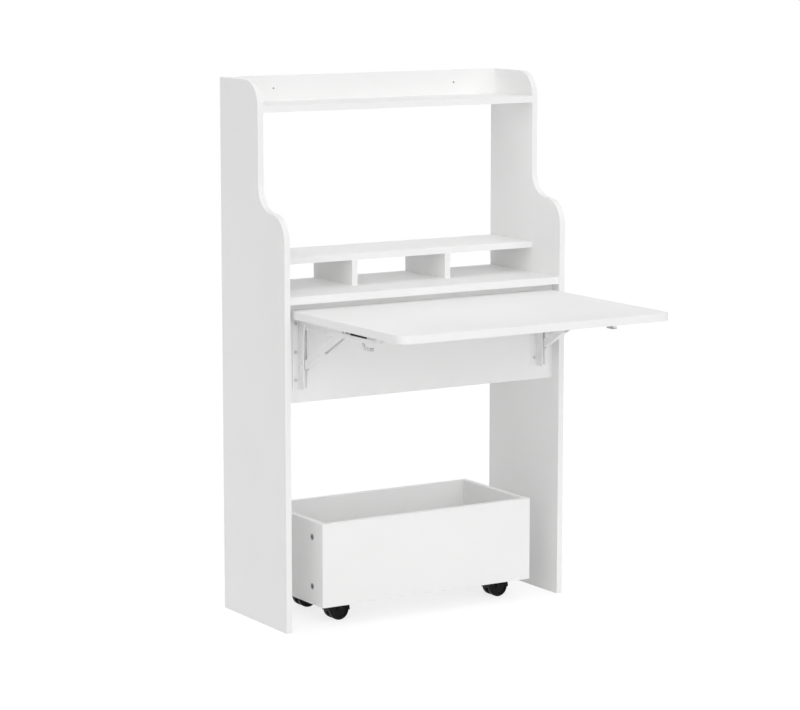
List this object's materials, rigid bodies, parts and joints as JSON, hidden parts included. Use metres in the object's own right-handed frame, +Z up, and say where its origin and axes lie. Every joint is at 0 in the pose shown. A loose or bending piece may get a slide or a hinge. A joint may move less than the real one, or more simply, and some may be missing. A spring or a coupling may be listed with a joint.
{
  "type": "fold down wall desk",
  "caption": "White wall desk with swept side panels, shelf, cubbies, a desktop that folds down on locking brackets, and an open box trolley on casters below.",
  "frame": {"origin": "on the floor, in the middle of the whole outline with the desktop open", "axes": "+X to the user's right, +Y to the wall, +Z up"},
  "size_m": [0.78, 0.774, 1.28],
  "materials": {
    "white_board": "satin white laminate",
    "white_steel": "white powder coat",
    "zinc_steel": "zinc plated",
    "black_plastic": "black moulded",
    "dowel_wood": "plain beech"
  },
  "bodies": {
    "cabinet": {"cabinet_cam_locks": "zinc_steel", "cabinet_cam_bolts": "zinc_steel", "cabinet_dowels": "dowel_wood", "divider_screws": "zinc_steel", "wall_arm_screws": "zinc_steel", "left_wall_arm": "white_steel", "left_hinge_rivet": "white_steel", "left_brace_rivet": "white_steel", "right_wall_arm": "white_steel", "right_hinge_rivet": "white_steel", "right_brace_rivet": "white_steel", "left_side_panel": "white_board", "right_side_panel": "white_board", "top_shelf": "white_board", "wall_rail": "white_board", "cubby_top_shelf": "white_board", "cubby_bottom_shelf": "white_board", "apron_panel": "white_board", "left_divider": "white_board", "right_divider": "white_board"},
    "desktop": {"desktop_screws": "zinc_steel", "left_top_arm": "white_steel", "left_lever_rivet": "white_steel", "left_lever_spring": "zinc_steel", "right_top_arm": "white_steel", "right_lever_rivet": "white_steel", "right_lever_spring": "zinc_steel", "desktop": "white_board"},
    "left_brace": {"left_brace": "white_steel", "left_lock_pin": "zinc_steel"},
    "left_release_lever": {"left_release_lever": "zinc_steel"},
    "right_brace": {"right_brace": "white_steel", "right_lock_pin": "zinc_steel"},
    "right_release_lever": {"right_release_lever": "zinc_steel"},
    "trolley": {"trolley_cam_locks": "zinc_steel", "trolley_cam_bolts": "zinc_steel", "trolley_dowels": "dowel_wood", "caster_mounts": "zinc_steel", "caster_mount_screws": "zinc_steel", "trolley_front": "white_board", "trolley_back": "white_board", "trolley_left_side": "white_board", "trolley_right_side": "white_board", "trolley_floor": "white_board"},
    "front_left_caster": {"front_left_caster_hood": "black_plastic"},
    "front_left_wheels": {"front_left_caster_wheels": "black_plastic", "front_left_caster_axle": "zinc_steel"},
    "front_right_caster": {"front_right_caster_hood": "black_plastic"},
    "front_right_wheels": {"front_right_caster_wheels": "black_plastic", "front_right_caster_axle": "zinc_steel"},
    "back_left_caster": {"back_left_caster_hood": "black_plastic"},
    "back_left_wheels": {"back_left_caster_wheels": "black_plastic", "back_left_caster_axle": "zinc_steel"},
    "back_right_caster": {"back_right_caster_hood": "black_plastic"},
    "back_right_wheels": {"back_right_caster_wheels": "black_plastic", "back_right_caster_axle": "zinc_steel"}
  },
  "joints": [
    {"name": "desktop_fold", "type": "hinge", "parent": "cabinet", "child": "desktop", "pos_m": [0, 0.0851, 0.729], "axis": [1, 0, 0], "range_deg": [0, 90]},
    {"name": "left_brace_swing", "type": "hinge", "parent": "cabinet", "child": "left_brace", "pos_m": [-0.329, 0.0974, 0.624], "axis": [1, 0, 0], "range_deg": [0, 116.12]},
    {"name": "left_lever_pull", "type": "hinge", "parent": "desktop", "child": "left_release_lever", "pos_m": [-0.329, -0.1299, 0.7336], "axis": [-1, 0, 0], "range_deg": [0, 10], "stiffness_Nm_per_rad": 0.4, "springref_deg": -8.59},
    {"name": "right_brace_swing", "type": "hinge", "parent": "cabinet", "child": "right_brace", "pos_m": [0.338, 0.0974, 0.624], "axis": [1, 0, 0], "range_deg": [0, 116.12]},
    {"name": "right_lever_pull", "type": "hinge", "parent": "desktop", "child": "right_release_lever", "pos_m": [0.338, -0.1299, 0.7336], "axis": [-1, 0, 0], "range_deg": [0, 10], "stiffness_Nm_per_rad": 0.4, "springref_deg": -8.59},
    {"name": "trolley_roll", "type": "slide", "parent": "cabinet", "child": "trolley", "axis": [0, -1, 0], "range_m": [0, 0.45]},
    {"name": "front_left_swivel", "type": "hinge", "parent": "trolley", "child": "front_left_caster", "pos_m": [-0.2265, 0.152, 0.064], "axis": [0, 0, 1], "continuous": true},
    {"name": "front_left_spin", "type": "hinge", "parent": "front_left_caster", "child": "front_left_wheels", "pos_m": [-0.216, 0.152, 0.025], "axis": [0, 1, 0], "continuous": true},
    {"name": "front_right_swivel", "type": "hinge", "parent": "trolley", "child": "front_right_caster", "pos_m": [0.2265, 0.152, 0.064], "axis": [0, 0, 1], "continuous": true},
    {"name": "front_right_spin", "type": "hinge", "parent": "front_right_caster", "child": "front_right_wheels", "pos_m": [0.237, 0.152, 0.025], "axis": [0, 1, 0], "continuous": true},
    {"name": "back_left_swivel", "type": "hinge", "parent": "trolley", "child": "back_left_caster", "pos_m": [-0.2265, 0.302, 0.064], "axis": [0, 0, 1], "continuous": true},
    {"name": "back_left_spin", "type": "hinge", "parent": "back_left_caster", "child": "back_left_wheels", "pos_m": [-0.216, 0.302, 0.025], "axis": [0, 1, 0], "continuous": true},
    {"name": "back_right_swivel", "type": "hinge", "parent": "trolley", "child": "back_right_caster", "pos_m": [0.2265, 0.302, 0.064], "axis": [0, 0, 1], "continuous": true},
    {"name": "back_right_spin", "type": "hinge", "parent": "back_right_caster", "child": "back_right_wheels", "pos_m": [0.237, 0.302, 0.025], "axis": [0, 1, 0], "continuous": true}
  ],
  "couplings": [
    {"joint": "left_brace_swing", "follows": "desktop_fold", "ratio": 1.2891},
    {"joint": "right_brace_swing", "follows": "desktop_fold", "ratio": 1.2891}
  ]
}
